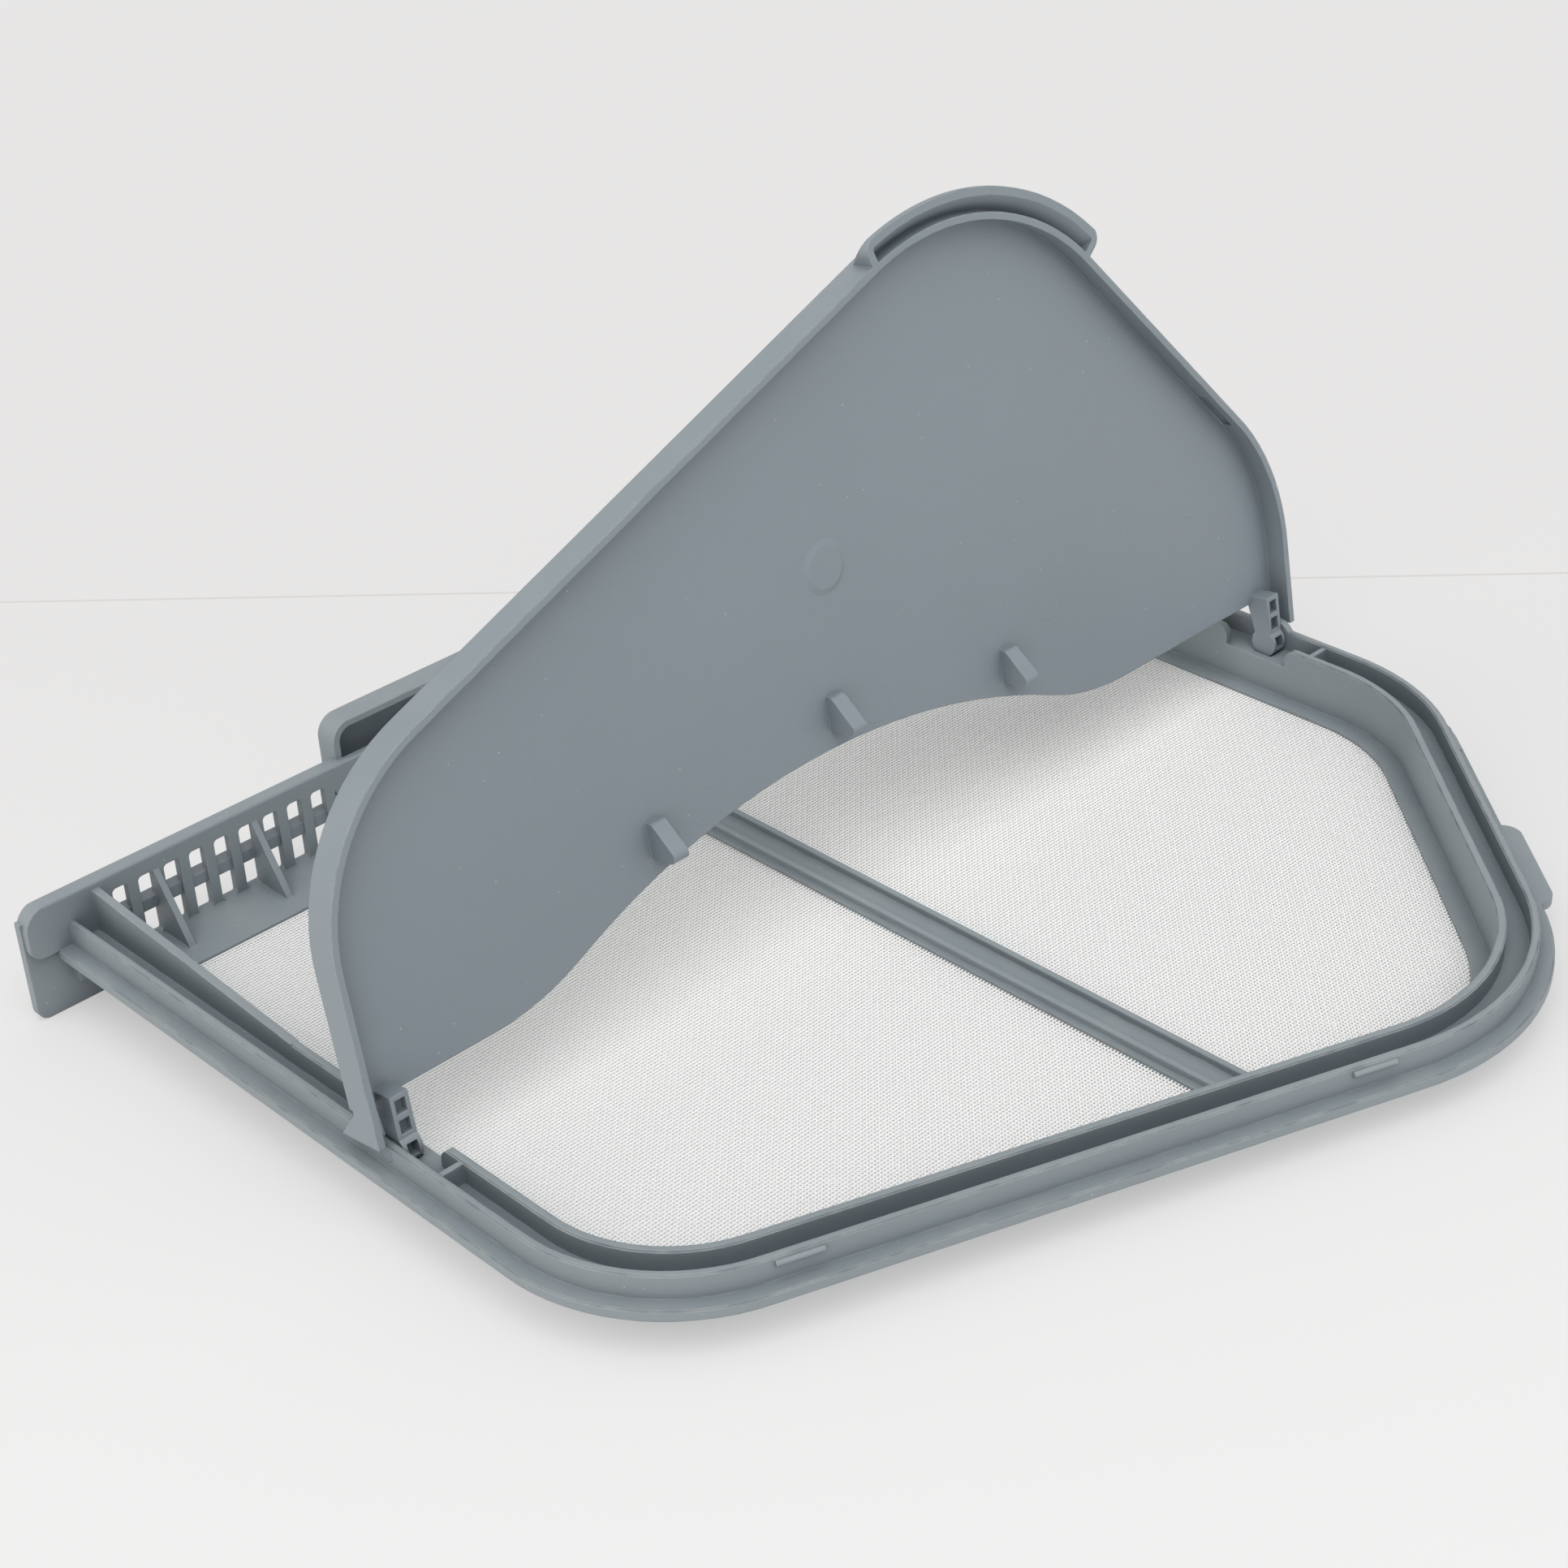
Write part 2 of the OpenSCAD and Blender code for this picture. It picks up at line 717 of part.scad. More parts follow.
// The cut-out of the lid's plate on the hinge side: an arch with two blended shoulders.
module arch_cut() {
    drop = arch_radius - arch_reach;
    rise = shoulder_reach + arch_blend + drop;
    run = sqrt(pow(arch_radius + arch_blend, 2) - pow(rise, 2));
    touch = arch_radius / (arch_radius + arch_blend);
    translate([-front_half, -shoulder_reach])
    square([front_half + front_half, front_reach]);
    translate([arch_x, 0]) {
        translate([0, drop])
        circle(r = arch_radius);
        for (side = [-1, 1])
            difference() {
                polygon([
                    [0, drop],
                    [side * run * touch, drop - rise * touch],
                    [side * run, drop - rise * touch],
                    [side * run, over - shoulder_reach]
                ]);
                translate([side * run, -shoulder_reach - arch_blend])
                circle(r = arch_blend + bulge);
            }
    }
}

// Plan of the lid's grip round the outermost corner, with two rounded ends.
module lid_grip_area(inset) {
    k = 2;
    reach = radii[k] + lid_grip_offset - inset;
    post = radii[k] + lid_grip_offset - lid_grip_radius;
    end = lid_grip_radius - inset;
    far = reach / cos(turn(k) / 2);
    middle = unit(outward(1) + outward(2));
    function side(i) = (i == 1 ? -1 : 1) * heading(i);
    function place(i) = post * outward(i) - lid_grip_radius * side(i);
    translate(centre(k)) {
        intersection() {
            circle(r = reach);
            polygon([over * middle, far * unit(place(1)), far * middle, far * unit(place(2))]);
        }
        for (i = [1, 2]) {
            translate(place(i))
            circle(r = end + bulge + bulge);
            translate(place(i))
            polygon([
                end * side(i),
                -end * side(i),
                -end * side(i) - post * outward(i),
                end * side(i) - post * outward(i)
            ]);
        }
    }
}

// The grip flares outwards from the plate's edge and ends in an upright rim.
module lid_grip() {
    k = 2;
    reach = radii[k] + lid_grip_offset;
    fall = lid_level + lid_thickness - skirt_foot;
    slope = (lid_grip_offset - skirt_outside + skirt_thickness) / (fall - lid_grip_rim);
    hollow = reach - lid_grip_wall;
    difference() {
        intersection() {
            translate([0, 0, skirt_foot])
            linear_extrude(height = fall)
            lid_grip_area(0);
            translate([centre(k)[0], centre(k)[1], skirt_foot]) {
                cylinder(r = reach + bulge, h = lid_grip_rim);
                translate([0, 0, lid_grip_rim - bulge])
                cylinder(r1 = reach + bulge, r2 = reach - slope * (fall - lid_grip_rim),
                    h = fall - lid_grip_rim);
            }
        }
        intersection() {
            translate([0, 0, skirt_foot - over])
            linear_extrude(height = over + lid_level - skirt_foot)
            lid_grip_area(lid_grip_wall);
            translate([centre(k)[0], centre(k)[1], skirt_foot - over])
            cylinder(r1 = hollow + slope * over, r2 = hollow - slope * (lid_level - skirt_foot),
                h = over + lid_level - skirt_foot);
        }
        translate([0, 0, skirt_foot - over])
        linear_extrude(height = fall + over + over)
        rim_area(skirt_inside + skirt_thickness / 2, front_reach, front_reach);
    }
}

// Plate of the lid with its arched hinge side.
module lid_plate() {
    difference() {
        translate([0, 0, lid_level])
        linear_extrude(height = lid_thickness)
        rim_area(skirt_outside, front_reach, front_reach);
        translate([0, 0, lid_level - over])
        linear_extrude(height = lid_thickness + over + over)
        arch_cut();
    }
}

// Recess in the skirt's inner face that takes one snap rib.
module snap_recess(i, share) {
    middle = on_edge(i, share);
    half = snap_length / 2 + skirt_thickness;
    along_edge(i, middle - heading(i) * half, middle + heading(i) * half)
    translate([skirt_inside - over, outer_height - snap_depth - snap_width])
    square([over + skirt_thickness / 2, snap_width + snap_width]);
}

// Skirt of the lid with its heels beside the hinge.
module lid_skirt() {
    difference() {
        rim_band(skirt_inside, skirt_outside, skirt_foot, lid_level + lid_thickness / 2,
            front_reach, front_reach);
        sideways(-half_width - skirt_outside - over, half_width + skirt_outside + over)
        translate([-skirt_foot_reach, skirt_foot - over])
        square([front_reach + over + over + skirt_foot_reach, lid_thickness + lid_level]);
        snap_recess(1, snap_shares[0]);
        snap_recess(1, snap_shares[1]);
        snap_recess(2, snap_shares[2]);
    }
    top = lid_level + lid_thickness;
    for (x = [-half_width - skirt_outside, half_width + skirt_inside])
        sideways(x, x + skirt_thickness)
        polygon([
            [-skirt_foot_reach, lid_level],
            [-skirt_foot_reach, top + heel],
            [-skirt_foot_reach - heel - over, top - over],
            [-skirt_foot_reach - heel - over, lid_level]
        ]);
}

// A stop rib: a short upright blade with a slanted edge and two rounded corners.
module stop_rib(x, crown) {
    start = -crown - rib_setback;
    base = lid_level + lid_thickness / 2;
    low = [start - rib_round, lid_level - rib_height + rib_round];
    high = [start - rib_length + rib_round, lid_level - rib_crest + rib_round];
    side = unit(high - low);
    across = rib_round * [-side[1], side[0]];
    sideways(x - rib_width / 2, x + rib_width / 2) {
        polygon([
            [start, base],
            [start, low[1]],
            low + across,
            high + across,
            [start - rib_length, high[1]],
            [start - rib_length, base]
        ]);
        for (place = [low, high])
            translate(place)
            circle(r = rib_round + bulge);
    }
}

// Edge of the arch at a given sideways place.
function arch_edge(x) = sqrt(pow(arch_radius, 2) - pow(x - arch_x, 2)) - arch_radius + arch_reach;

module stop_ribs() {
    for (i = [-1, 0, 1])
        stop_rib(rib_x + i * rib_pitch, arch_edge(rib_x + i * rib_pitch));
}

// One hinge arm with its eye, its pin and the pockets in its face.
module hinge_arm() {
    inner = half_width + inner_wall + arm_clearance;
    outer = half_width + outer_inside - arm_clearance;
    foot = channel_floor + arm_clearance;
    difference() {
        union() {
            sideways(inner, outer)
            polygon([
                [0, foot],
                [0, axle_height + eye_radius / 2],
                [-shoulder_reach, lid_level + lid_thickness / 2],
                [-arm_length, lid_level + lid_thickness / 2],
                [-arm_length, foot]
            ]);
            translate([inner, 0, axle_height])
            rotate([0, 90, 0])
            cylinder(r = eye_radius, h = outer - inner);
            translate([inner, 0, axle_height])
            rotate([0, 90, 0])
            cylinder(r = pin_diameter / 2, h = half_width + outer_outside - inner);
        }
        for (y = pocket_places)
            translate([inner + arm_wall, y, foot - eye_radius])
            cube([outer - inner - arm_wall - arm_wall, pocket_length, eye_radius + pocket_depth]);
    }
}

// The lid is drawn closed here and swung open by the node below.
module lid_closed() {
    lid_plate();
    lid_skirt();
    lid_grip();
    stop_ribs();
    hinge_arm();
    mirror([1, 0, 0])
    hinge_arm();
    translate([pad_place[0], -pad_place[1], lid_level - pad_height])
    cylinder(d1 = pad_diameter - pad_bevel - pad_bevel, d2 = pad_diameter, h = pad_height);
    translate([pad_place[0], -pad_place[1], lid_level - bulge])
    cylinder(d = pad_diameter, h = lid_thickness / 2);
}

module lid() {
    color(plastic)
    seated()
    translate([0, 0, axle_height])
    rotate([-open_angle, 0, 0])
    translate([0, 0, -axle_height])
    lid_closed();
}

frame();
mesh_left();
mesh_right();
lid();
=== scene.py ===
import math
import bpy
from mathutils import Matrix, Vector


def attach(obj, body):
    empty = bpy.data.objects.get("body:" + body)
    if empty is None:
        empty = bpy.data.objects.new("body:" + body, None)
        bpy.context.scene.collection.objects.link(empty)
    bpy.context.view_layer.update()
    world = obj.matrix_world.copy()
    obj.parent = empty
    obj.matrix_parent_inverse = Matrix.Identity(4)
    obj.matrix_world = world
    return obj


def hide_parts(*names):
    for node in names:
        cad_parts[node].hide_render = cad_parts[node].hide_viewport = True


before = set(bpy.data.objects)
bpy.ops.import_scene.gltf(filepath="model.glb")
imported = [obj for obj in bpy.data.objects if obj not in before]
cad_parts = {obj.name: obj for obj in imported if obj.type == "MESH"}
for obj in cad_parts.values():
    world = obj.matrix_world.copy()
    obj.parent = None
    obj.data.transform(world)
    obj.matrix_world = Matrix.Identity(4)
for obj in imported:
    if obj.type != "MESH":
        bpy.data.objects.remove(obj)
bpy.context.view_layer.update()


# Frame moulding
# One injection moulding in blue-grey polypropylene: ledge, double rim with its channel,
# centre bar and slotted front wall with the grip. The tool gave it a fine eroded texture,
# soft edges that have rubbed a little paler and carry a painted highlight, and a faint cloudiness from the
# flow.
def srgb(red, green, blue):
    def linear(value):
        value = value / 255
        return value / 12.92 if value <= 0.04045 else ((value + 0.055) / 1.055) ** 2.4
    return (linear(red), linear(green), linear(blue), 1.0)


def put(tree, kind, feeds=(), **settings):
    node = tree.nodes.new(kind)
    for name, value in settings.items():
        setattr(node, name, value)
    for socket, value in dict(feeds).items():
        if isinstance(value, bpy.types.NodeSocket):
            tree.links.new(value, node.inputs[socket])
        else:
            node.inputs[socket].default_value = value
    return node


def sums(tree, operation, first, second=0.0, third=0.0, clamp=False):
    feeds = {0: first, 1: second, 2: third}
    return put(tree, "ShaderNodeMath", feeds, operation=operation, use_clamp=clamp).outputs[0]


def blend_colours(tree, factor, first, second):
    return put(tree, "ShaderNodeMix", {0: factor, 6: first, 7: second}, data_type="RGBA").outputs[2]


def measure(tree, operation, first, second):
    return put(tree, "ShaderNodeVectorMath", {0: first, 1: second}, operation=operation).outputs["Value"]


def noise(tree, place, scale, detail=3.0, roughness=0.5):
    feeds = {"Vector": place, "Scale": scale, "Detail": detail, "Roughness": roughness}
    return put(tree, "ShaderNodeTexNoise", feeds).outputs["Fac"]


def step_up(tree, value, low, high):
    feeds = {0: value, 1: low, 2: high, 3: 0.0, 4: 1.0}
    return put(tree, "ShaderNodeMapRange", feeds, interpolation_type="SMOOTHSTEP").outputs[0]


def shader_group(name, inputs, outputs):
    group = bpy.data.node_groups.new(name, "ShaderNodeTree")
    for label, kind in inputs:
        group.interface.new_socket(label, in_out="INPUT", socket_type="NodeSocket" + kind)
    for label, kind in outputs:
        group.interface.new_socket(label, in_out="OUTPUT", socket_type="NodeSocket" + kind)
    return group, group.nodes.new("NodeGroupInput").outputs, group.nodes.new("NodeGroupOutput").inputs


# Eroded grain of the tool, with the slow cloudiness of the flow in the plastic
eroded_grain, given, result = shader_group(
    "eroded_grain",
    [("Vector", "Vector"), ("Grain Scale", "Float"), ("Cloud Scale", "Float")],
    [("Height", "Float"), ("Cloud", "Float")],
)
fine = noise(eroded_grain, given["Vector"], given["Grain Scale"], 2.0, 0.6)
coarse_scale = sums(eroded_grain, "MULTIPLY", given["Grain Scale"], 0.3)
coarse = noise(eroded_grain, given["Vector"], coarse_scale, 2.0, 0.5)
eroded_grain.links.new(sums(eroded_grain, "MULTIPLY_ADD", coarse, 0.6, fine), result["Height"])
cloud = noise(eroded_grain, given["Vector"], given["Cloud Scale"], 4.0, 0.55)
eroded_grain.links.new(cloud, result["Cloud"])

# Rubbed edges and a painted highlight: where the softened normal leaves the true one, broken up by noise
rubbed_edge_and_highlight, given, result = shader_group(
    "rubbed_edge_and_highlight",
    [("Vector", "Vector"), ("Soft Normal", "Vector"), ("True Normal", "Vector"), ("Patch Scale", "Float")],
    [("Edge", "Float")],
)
agreement = measure(rubbed_edge_and_highlight, "DOT_PRODUCT", given["Soft Normal"], given["True Normal"])
off = sums(rubbed_edge_and_highlight, "SUBTRACT", 1.0, agreement, clamp=True)
patches = step_up(rubbed_edge_and_highlight, noise(rubbed_edge_and_highlight, given["Vector"], given["Patch Scale"], 3.0), 0.3, 0.62)
near_edge = step_up(rubbed_edge_and_highlight, off, 0.01, 0.12)
rubbed_edge_and_highlight.links.new(sums(rubbed_edge_and_highlight, "MULTIPLY", near_edge, patches), result["Edge"])

# Lint dust: a thin veil on faces that look up, and sparse pale specks
lint_dust, given, result = shader_group(
    "lint_dust",
    [("Vector", "Vector"), ("Normal", "Vector"), ("Speck Scale", "Float")],
    [("Veil", "Float"), ("Specks", "Float")],
)
upward = put(lint_dust, "ShaderNodeSeparateXYZ", {0: given["Normal"]}).outputs[2]
veil = step_up(lint_dust, noise(lint_dust, given["Vector"], 55.0, 5.0, 0.65), 0.42, 0.75)
settled = sums(lint_dust, "MULTIPLY", veil, step_up(lint_dust, upward, 0.3, 0.95))
lint_dust.links.new(settled, result["Veil"])
cells = put(lint_dust, "ShaderNodeTexVoronoi",
            {"Vector": given["Vector"], "Scale": given["Speck Scale"], "Randomness": 1.0})
spot = sums(lint_dust, "SUBTRACT", 1.0, step_up(lint_dust, cells.outputs["Distance"], 0.05, 0.10))
chance = put(lint_dust, "ShaderNodeSeparateColor", {0: cells.outputs["Color"]}).outputs[0]
few = step_up(lint_dust, chance, 0.86, 0.9)
lint_dust.links.new(sums(lint_dust, "MULTIPLY", spot, few), result["Specks"])

# Painted shade that darkens the corners of the channel, the pockets and the grips
painted_corner_shade, given, result = shader_group(
    "painted_corner_shade", [("Vector", "Vector"), ("Openness", "Float")], [("Painted Shade", "Float")])
closed_in = sums(painted_corner_shade, "SUBTRACT", 1.0, step_up(painted_corner_shade, given["Openness"], 0.25, 0.95))
blotches = noise(painted_corner_shade, given["Vector"], 70.0, 4.0)
mottled = sums(painted_corner_shade, "MULTIPLY_ADD", blotches, 0.5, 0.72, clamp=True)
painted_corner_shade.links.new(sums(painted_corner_shade, "MULTIPLY", closed_in, mottled), result["Painted Shade"])


def use_group(tree, group, feeds):
    return put(tree, "ShaderNodeGroup", feeds, node_tree=group).outputs


edge_radius = 0.00045
shade_reach = 0.008
grain_scale = 2400.0
patch_scale = 160.0
speck_scale = 420.0
plastic_index = 1.49
dust_grey = srgb(196, 196, 192)
speck_white = srgb(214, 214, 210)
painted_shade_dark = srgb(60, 71, 80)


def moulded_plastic(name, colour, rubbed_and_highlight, cloud_scale, relief=None):
    material = bpy.data.materials.new(name)
    material.use_nodes = True
    tree = material.node_tree
    shader = tree.nodes["Principled BSDF"]
    place = tree.nodes.new("ShaderNodeTexCoord").outputs["Object"]
    soft = put(tree, "ShaderNodeBevel", {"Radius": edge_radius}, samples=4).outputs["Normal"]
    true = tree.nodes.new("ShaderNodeNewGeometry").outputs["Normal"]
    grain = use_group(tree, eroded_grain,
                      {"Vector": place, "Grain Scale": grain_scale, "Cloud Scale": cloud_scale})
    normals = {"Soft Normal": soft, "True Normal": true}
    edge = use_group(tree, rubbed_edge_and_highlight, {"Vector": place, "Patch Scale": patch_scale, **normals})["Edge"]
    dust = use_group(tree, lint_dust, {"Vector": place, "Normal": true, "Speck Scale": speck_scale})
    # Ambient occlusion finds the closed-in corners that get painted shade
    openness = put(tree, "ShaderNodeAmbientOcclusion", {"Distance": shade_reach}, samples=4).outputs["AO"]
    painted_shade = use_group(tree, painted_corner_shade, {"Vector": place, "Openness": openness})["Painted Shade"]
    deep = tuple(part * 0.93 for part in colour[:3]) + (1.0,)
    pale = tuple(min(1.0, part * 1.07) for part in colour[:3]) + (1.0,)
    tint = blend_colours(tree, grain["Cloud"], deep, pale)
    # Edges turn paler, partly from rubbing and partly from a painted highlight
    tint = blend_colours(tree, sums(tree, "MULTIPLY", edge, 0.8), tint, rubbed_and_highlight)
    tint = blend_colours(tree, sums(tree, "MULTIPLY", dust["Veil"], 0.10), tint, dust_grey)
    tint = blend_colours(tree, sums(tree, "MULTIPLY", dust["Specks"], 0.5), tint, speck_white)
    # Painted shade: the base colour darkens in closed-in corners, mottled by noise
    tint = blend_colours(tree, sums(tree, "MULTIPLY", painted_shade, 0.45), tint, painted_shade_dark)
    tree.links.new(tint, shader.inputs["Base Color"])
    rough = sums(tree, "MULTIPLY_ADD", grain["Cloud"], 0.14, 0.40)
    rough = sums(tree, "MULTIPLY_ADD", dust["Veil"], 0.12, rough)
    tree.links.new(rough, shader.inputs["Roughness"])
    shader.inputs["IOR"].default_value = plastic_index
    height = sums(tree, "ADD", grain["Height"], relief(tree, place)) if relief else grain["Height"]
    relief_feeds = {"Strength": 0.26, "Distance": 0.0002, "Height": height, "Normal": soft}
    bump = put(tree, "ShaderNodeBump", relief_feeds).outputs["Normal"]
    tree.links.new(bump, shader.inputs["Normal"])
    return material


def dress(node, material):
    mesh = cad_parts[node].data
    mesh.materials.clear()
    mesh.materials.append(material)


blue_grey = srgb(140, 149, 154)
rubbed_and_highlight_grey = srgb(186, 190, 191)
dress("frame", moulded_plastic("frame_satin", blue_grey, rubbed_and_highlight_grey, 16.0))


# Two mesh panels
# Fine white nylon cloth in plain weave. Each panel is stretched flat and welded into the
# groove of the ledge and of the centre bar. Its threads run along and across the hinge.
thread_pitch = 0.0009
thread_width = 0.00047
thread_sides = 6
thread_index = 1.53
# Each layer of threads stands off the cloth's middle by this share of the thread's width
layer_share = 0.28
cloth_lean = math.radians(1.541782)
# Threads start this far outside the panel and are cut back to its outline
spare_length = 0.01


def weave_tree(material):
    tree = bpy.data.node_groups.new("plain_weave", "GeometryNodeTree")
    sockets = {}
    tree.interface.new_socket("Panel", in_out="INPUT", socket_type="NodeSocketGeometry")
    for label in ["Pitch", "Thread", "Lean"]:
        socket = tree.interface.new_socket(label, in_out="INPUT", socket_type="NodeSocketFloat")
        sockets[label] = socket.identifier
    tree.interface.new_socket("Cloth", in_out="OUTPUT", socket_type="NodeSocketGeometry")
    given = tree.nodes.new("NodeGroupInput").outputs
    result = tree.nodes.new("NodeGroupOutput").inputs

    def turn(angle):
        return put(tree, "ShaderNodeCombineXYZ", {0: angle, 1: 0.0, 2: 0.0}).outputs[0]

    def corner(vector):
        return put(tree, "ShaderNodeSeparateXYZ", {0: vector}).outputs

    def vector(x, y, z):
        return put(tree, "ShaderNodeCombineXYZ", {0: x, 1: y, 2: z}).outputs[0]

    back = sums(tree, "MULTIPLY", given["Lean"], -1.0)
    hull = put(tree, "GeometryNodeConvexHull", {"Geometry": given["Panel"]}).outputs[0]
    flat = put(tree, "GeometryNodeTransform", {"Geometry": hull, "Rotation": turn(back)}).outputs[0]
    box = put(tree, "GeometryNodeBoundBox", {"Geometry": flat}).outputs
    low, high = corner(box["Min"]), corner(box["Max"])
    level = sums(tree, "MULTIPLY", sums(tree, "ADD", low[2], high[2]), 0.5)
    thread_radius = sums(tree, "MULTIPLY", given["Thread"], 0.5)
    ring = put(tree, "GeometryNodeCurvePrimitiveCircle",
               {"Resolution": thread_sides, "Radius": thread_radius}).outputs["Curve"]

    def threads(along, side):
        across = 1 - along
        start = [low[0], low[1], sums(tree, "MULTIPLY_ADD", given["Thread"], side * layer_share, level)]
        start[across] = sums(tree, "MULTIPLY_ADD", given["Pitch"], 0.5, low[across])
        start[along] = sums(tree, "SUBTRACT", low[along], spare_length)
        shift = [0.0, 0.0, 0.0]
        shift[across] = given["Pitch"]
        wide = sums(tree, "SUBTRACT", high[across], low[across])
        count = sums(tree, "FLOOR", sums(tree, "DIVIDE", wide, given["Pitch"]))
        row = put(tree, "GeometryNodeMeshLine",
                  {"Count": count, "Start Location": vector(*start), "Offset": vector(*shift)}).outputs[0]
        reach = [0.0, 0.0, 0.0]
        long = sums(tree, "SUBTRACT", high[along], low[along])
        reach[along] = sums(tree, "ADD", long, 2 * spare_length)
        rod = put(tree, "GeometryNodeMeshLine", {"Count": 2, "Offset": vector(*reach)}).outputs[0]
        copies = put(tree, "GeometryNodeInstanceOnPoints", {"Points": row, "Instance": rod}).outputs[0]
        rods = put(tree, "GeometryNodeRealizeInstances", {"Geometry": copies}).outputs[0]
        place = tree.nodes.new("GeometryNodeInputPosition").outputs[0]
        middle = sums(tree, "MULTIPLY", sums(tree, "ADD", low[along], high[along]), 0.5)
        aim = [0.0, 0.0, 0.0]
        aim[along] = sums(tree, "SIGN", sums(tree, "SUBTRACT", middle, corner(place)[along]))
        ray = put(tree, "GeometryNodeRaycast",
                  {"Target Geometry": flat, "Source Position": place,
                   "Ray Direction": vector(*aim), "Ray Length": 1.0}).outputs
        missed = put(tree, "FunctionNodeBooleanMath", {0: ray["Is Hit"]}, operation="NOT").outputs[0]
        kept = put(tree, "GeometryNodeDeleteGeometry", {"Geometry": rods, "Selection": missed}).outputs[0]
        cut = put(tree, "GeometryNodeSetPosition",
                  {"Geometry": kept, "Position": ray["Hit Position"]}).outputs[0]
        line = put(tree, "GeometryNodeMeshToCurve", {"Mesh": cut}).outputs[0]
        tube = {"Curve": line, "Profile Curve": ring, "Fill Caps": True}
        return put(tree, "GeometryNodeCurveToMesh", tube).outputs[0]

    join = tree.nodes.new("GeometryNodeJoinGeometry")
    for along, side in [(0, 1.0), (1, -1.0)]:
        tree.links.new(threads(along, side), join.inputs[0])
    lean = turn(given["Lean"])
    leaned = put(tree, "GeometryNodeTransform", {"Geometry": join.outputs[0], "Rotation": lean}).outputs[0]
    whole = put(tree, "GeometryNodeRealizeInstances", {"Geometry": leaned}).outputs[0]
    done = put(tree, "GeometryNodeSetMaterial", {"Geometry": whole, "Material": material}).outputs[0]
    tree.links.new(done, result["Cloth"])
    return tree, sockets


# The thread dives and rises at each crossing, and painted shade makes its sides darker in between
woven_thread, given, result = shader_group(
    "woven_thread", [("Vector", "Vector"), ("Pitch", "Float")], [("Crossing Light", "Float"), ("Slub", "Float")])
half_wave = sums(woven_thread, "DIVIDE", math.pi, given["Pitch"])
scaled = put(woven_thread, "ShaderNodeVectorMath", {0: given["Vector"], 3: half_wave},
             operation="SCALE").outputs[0]
turns = put(woven_thread, "ShaderNodeSeparateXYZ", {0: scaled}).outputs
waves = [sums(woven_thread, "SINE", turns[axis]) for axis in (0, 1)]
wave = sums(woven_thread, "MULTIPLY", *waves)
woven_thread.links.new(sums(woven_thread, "MULTIPLY_ADD", wave, 0.5, 0.5), result["Crossing Light"])
woven_thread.links.new(noise(woven_thread, given["Vector"], 90.0, 4.0, 0.6), result["Slub"])

nylon = bpy.data.materials.new("nylon_thread")
nylon.use_nodes = True
tree = nylon.node_tree
shader = tree.nodes["Principled BSDF"]
place = tree.nodes.new("ShaderNodeTexCoord").outputs["Object"]
weave = use_group(tree, woven_thread, {"Vector": place, "Pitch": thread_pitch})
# Painted shade: the thread is darker where it dives under, lighter where it lies over
tint = blend_colours(tree, weave["Crossing Light"], srgb(244, 244, 243), srgb(254, 254, 254))
tint = blend_colours(tree, sums(tree, "MULTIPLY", weave["Slub"], 0.25), tint, srgb(246, 246, 244))
tree.links.new(tint, shader.inputs["Base Color"])
tree.links.new(sums(tree, "MULTIPLY_ADD", weave["Slub"], 0.2, 0.58), shader.inputs["Roughness"])
shader.inputs["IOR"].default_value = thread_index

weave_nodes, weave_inputs = weave_tree(nylon)
cut_sizes = {
    "mesh_left": ((0.1219, 0.2051), 0.0221),
    "mesh_right": ((0.1259, 0.2188), 0.0245),
}
for node, (cut, area) in cut_sizes.items():
    cloth = bpy.data.objects.new(node + "_cloth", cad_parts[node].data.copy())
    bpy.context.scene.collection.objects.link(cloth)
    weaving = cloth.modifiers.new("weaving", "NODES")
    weaving.node_group = weave_nodes
    weaving[weave_inputs["Pitch"]] = thread_pitch
    weaving[weave_inputs["Thread"]] = thread_width
    weaving[weave_inputs["Lean"]] = cloth_lean
    evaluated = cloth.evaluated_get(bpy.context.evaluated_depsgraph_get())
    woven = bpy.data.meshes.new_from_object(evaluated)
    cloth.modifiers.clear()
    cloth.data = woven
    woven.name = node + "_threads"
    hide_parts(node)
    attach(cloth, "frame")


# Hinged lid
# A second moulding in the same plastic: plate, skirt, flared grip, three stop ribs, a low
# round pad and two hinge arms with pins. Ejector pins left faint rings beside the ribs.
ring_centres = [(-0.0455, 0.0132, 0.0497), (0.0062, 0.0134, 0.0515), (0.0631, 0.0137, 0.0538)]
ring_radius = 0.004


def ejector_rings(tree, place):
    total = None
    for centre in ring_centres:
        gap = measure(tree, "DISTANCE", place, centre)
        off_line = sums(tree, "ABSOLUTE", sums(tree, "SUBTRACT", gap, ring_radius))
        line = sums(tree, "SUBTRACT", 1.0, step_up(tree, off_line, 0.00012, 0.00035))
        total = line if total is None else sums(tree, "MAXIMUM", total, line)
    broken = step_up(tree, noise(tree, place, 130.0, 3.0), 0.45, 0.6)
    return sums(tree, "MULTIPLY", sums(tree, "MULTIPLY", total, broken), 2.4)


lid_grey = srgb(138, 148, 155)
dress("lid", moulded_plastic("lid_satin", lid_grey, rubbed_and_highlight_grey, 9.0, ejector_rings))


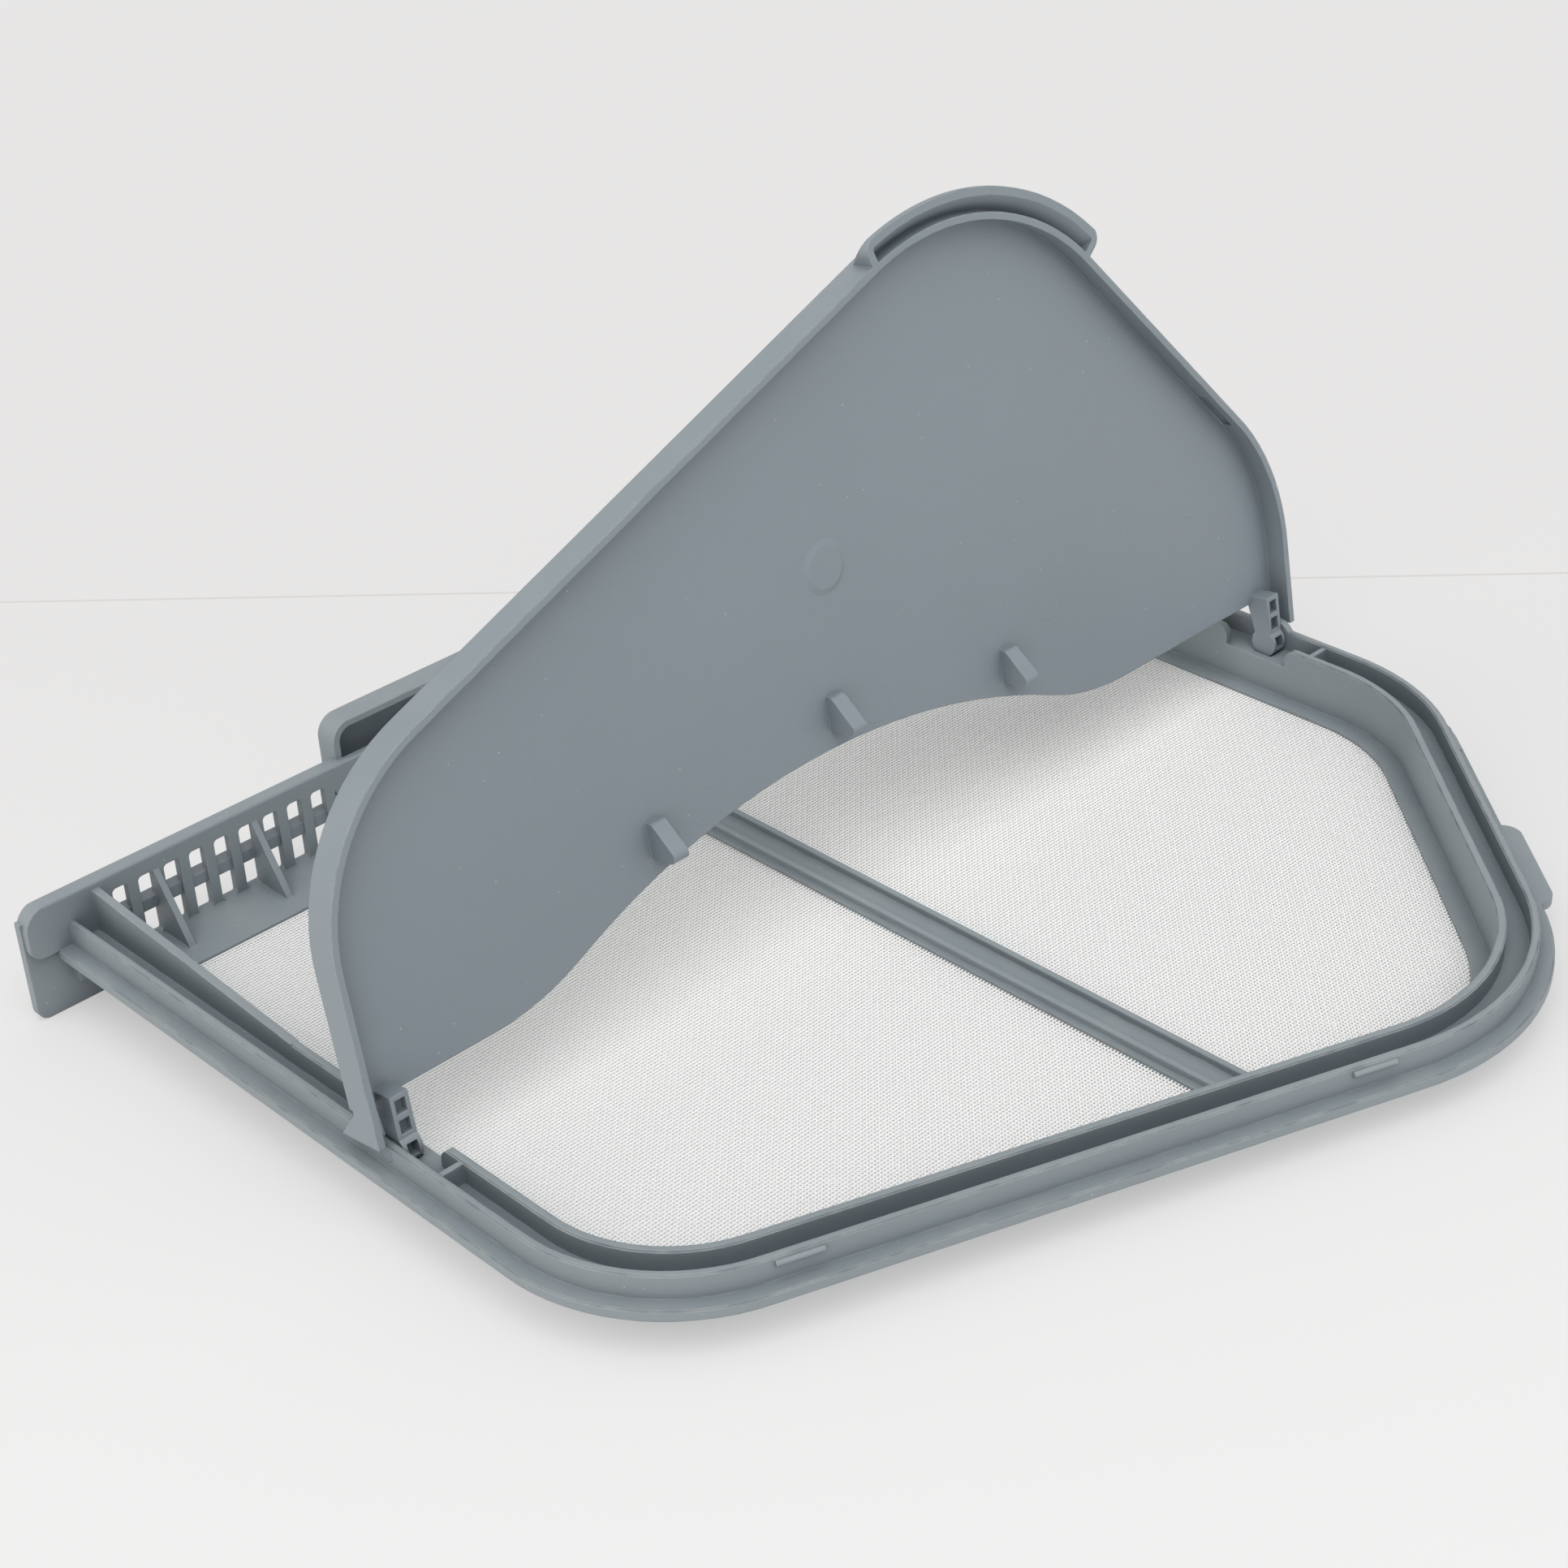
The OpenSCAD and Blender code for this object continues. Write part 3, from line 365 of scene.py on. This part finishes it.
# Studio floor
# A pale paper that the object stands on. Painted light makes it a little lighter towards the viewer,
# and a thin seam runs behind the object.
floor_side = 12
floor_drop = 0.00002
bpy.ops.mesh.primitive_plane_add(size=floor_side, location=(0, 0, -floor_drop))
floor = bpy.context.object
floor.name = "studio_floor"
towards_back = (0.6625, 0.7491, 0.0)
seam_across = (0.7582, 0.6520, 0.0)
seam_reach = 0.1741
paper = bpy.data.materials.new("studio_paper")
paper.use_nodes = True
tree = paper.node_tree
shader = tree.nodes["Principled BSDF"]
place = tree.nodes.new("ShaderNodeTexCoord").outputs["Object"]
# Painted light: the paper's colour grows lighter towards the viewer
painted_light_tone = step_up(tree, measure(tree, "DOT_PRODUCT", place, towards_back), -0.35, 0.25)
tint = blend_colours(tree, painted_light_tone, srgb(240, 240, 240), srgb(228, 227, 227))
beside = measure(tree, "DOT_PRODUCT", place, seam_across)
off_seam = sums(tree, "ABSOLUTE", sums(tree, "SUBTRACT", beside, seam_reach))
seam = sums(tree, "SUBTRACT", 1.0, step_up(tree, off_seam, 0.0002, 0.0009))
tint = blend_colours(tree, sums(tree, "MULTIPLY", seam, 0.55), tint, srgb(205, 203, 201))
tree.links.new(tint, shader.inputs["Base Color"])
shader.inputs["Roughness"].default_value = 0.95
shader.inputs["Specular IOR Level"].default_value = 0.0
glow = put(tree, "ShaderNodeEmission", {"Color": tint, "Strength": 1.0})
ray = tree.nodes.new("ShaderNodeLightPath").outputs
seen = sums(tree, "MAXIMUM", ray["Is Camera Ray"], ray["Is Glossy Ray"])
seen = sums(tree, "MULTIPLY", sums(tree, "MAXIMUM", seen, ray["Is Transmission Ray"]), 0.5)
paper_mix = put(tree, "ShaderNodeMixShader", {0: seen})
tree.links.new(shader.outputs[0], paper_mix.inputs[1])
tree.links.new(glow.outputs[0], paper_mix.inputs[2])
tree.links.new(paper_mix.outputs[0], tree.nodes["Material Output"].inputs["Surface"])
floor.data.materials.append(paper)


# Light and camera
# A wide soft key light from above the viewer, a warm window light from the left, an even
# white room, and the camera of the picture.
scene = bpy.context.scene
scene.view_settings.view_transform = "Standard"
room = bpy.data.worlds.new("soft_room")
scene.world = room
room.use_nodes = True
room.node_tree.nodes["Background"].inputs["Color"].default_value = (1.0, 1.0, 1.0, 1.0)
room.node_tree.nodes["Background"].inputs["Strength"].default_value = 0.61


def wide_lamp(name, direction, angle, strength, colour):
    lamp = bpy.data.lights.new(name, "SUN")
    lamp.angle = math.radians(angle)
    lamp.energy = strength
    lamp.color = colour
    holder = bpy.data.objects.new(name, lamp)
    scene.collection.objects.link(holder)
    holder.rotation_mode = "QUATERNION"
    holder.rotation_quaternion = Vector(direction).to_track_quat("-Z", "Y")


wide_lamp("key_light", (0.30, 0.42, -1.0), 60.0, 1.42, (1.0, 1.0, 1.0))
wide_lamp("window_light", (0.88, -0.30, -0.36), 70.0, 0.55, (1.0, 0.92, 0.78))

picture_pixels = 1932
focal_pixels = 3613.256
camera = bpy.data.cameras.new("picture_camera")
camera.sensor_width = 36
camera.lens = focal_pixels / picture_pixels * 36
camera.clip_start, camera.clip_end = 0.01, 20
eye = bpy.data.objects.new("picture_camera", camera)
scene.collection.objects.link(eye)
right = Vector((0.72001582, -0.69053691, -0.0688186))
down = Vector((-0.39305031, -0.32407082, -0.86051703))
ahead = Vector((0.57191667, 0.64663504, -0.50475186))
# The last correction of the aim, 5 pixels down and 3 to the right
ahead = (ahead - down * (5 / focal_pixels) + right * (3 / focal_pixels)).normalized()
right = (right - ahead * right.dot(ahead)).normalized()
down = ahead.cross(right)
eye.matrix_world = Matrix.Translation((-0.38355148, -0.39375798, 0.36153926)) @ Matrix((
    (right.x, -down.x, -ahead.x, 0),
    (right.y, -down.y, -ahead.y, 0),
    (right.z, -down.z, -ahead.z, 0),
    (0, 0, 0, 1),
))
scene.camera = eye
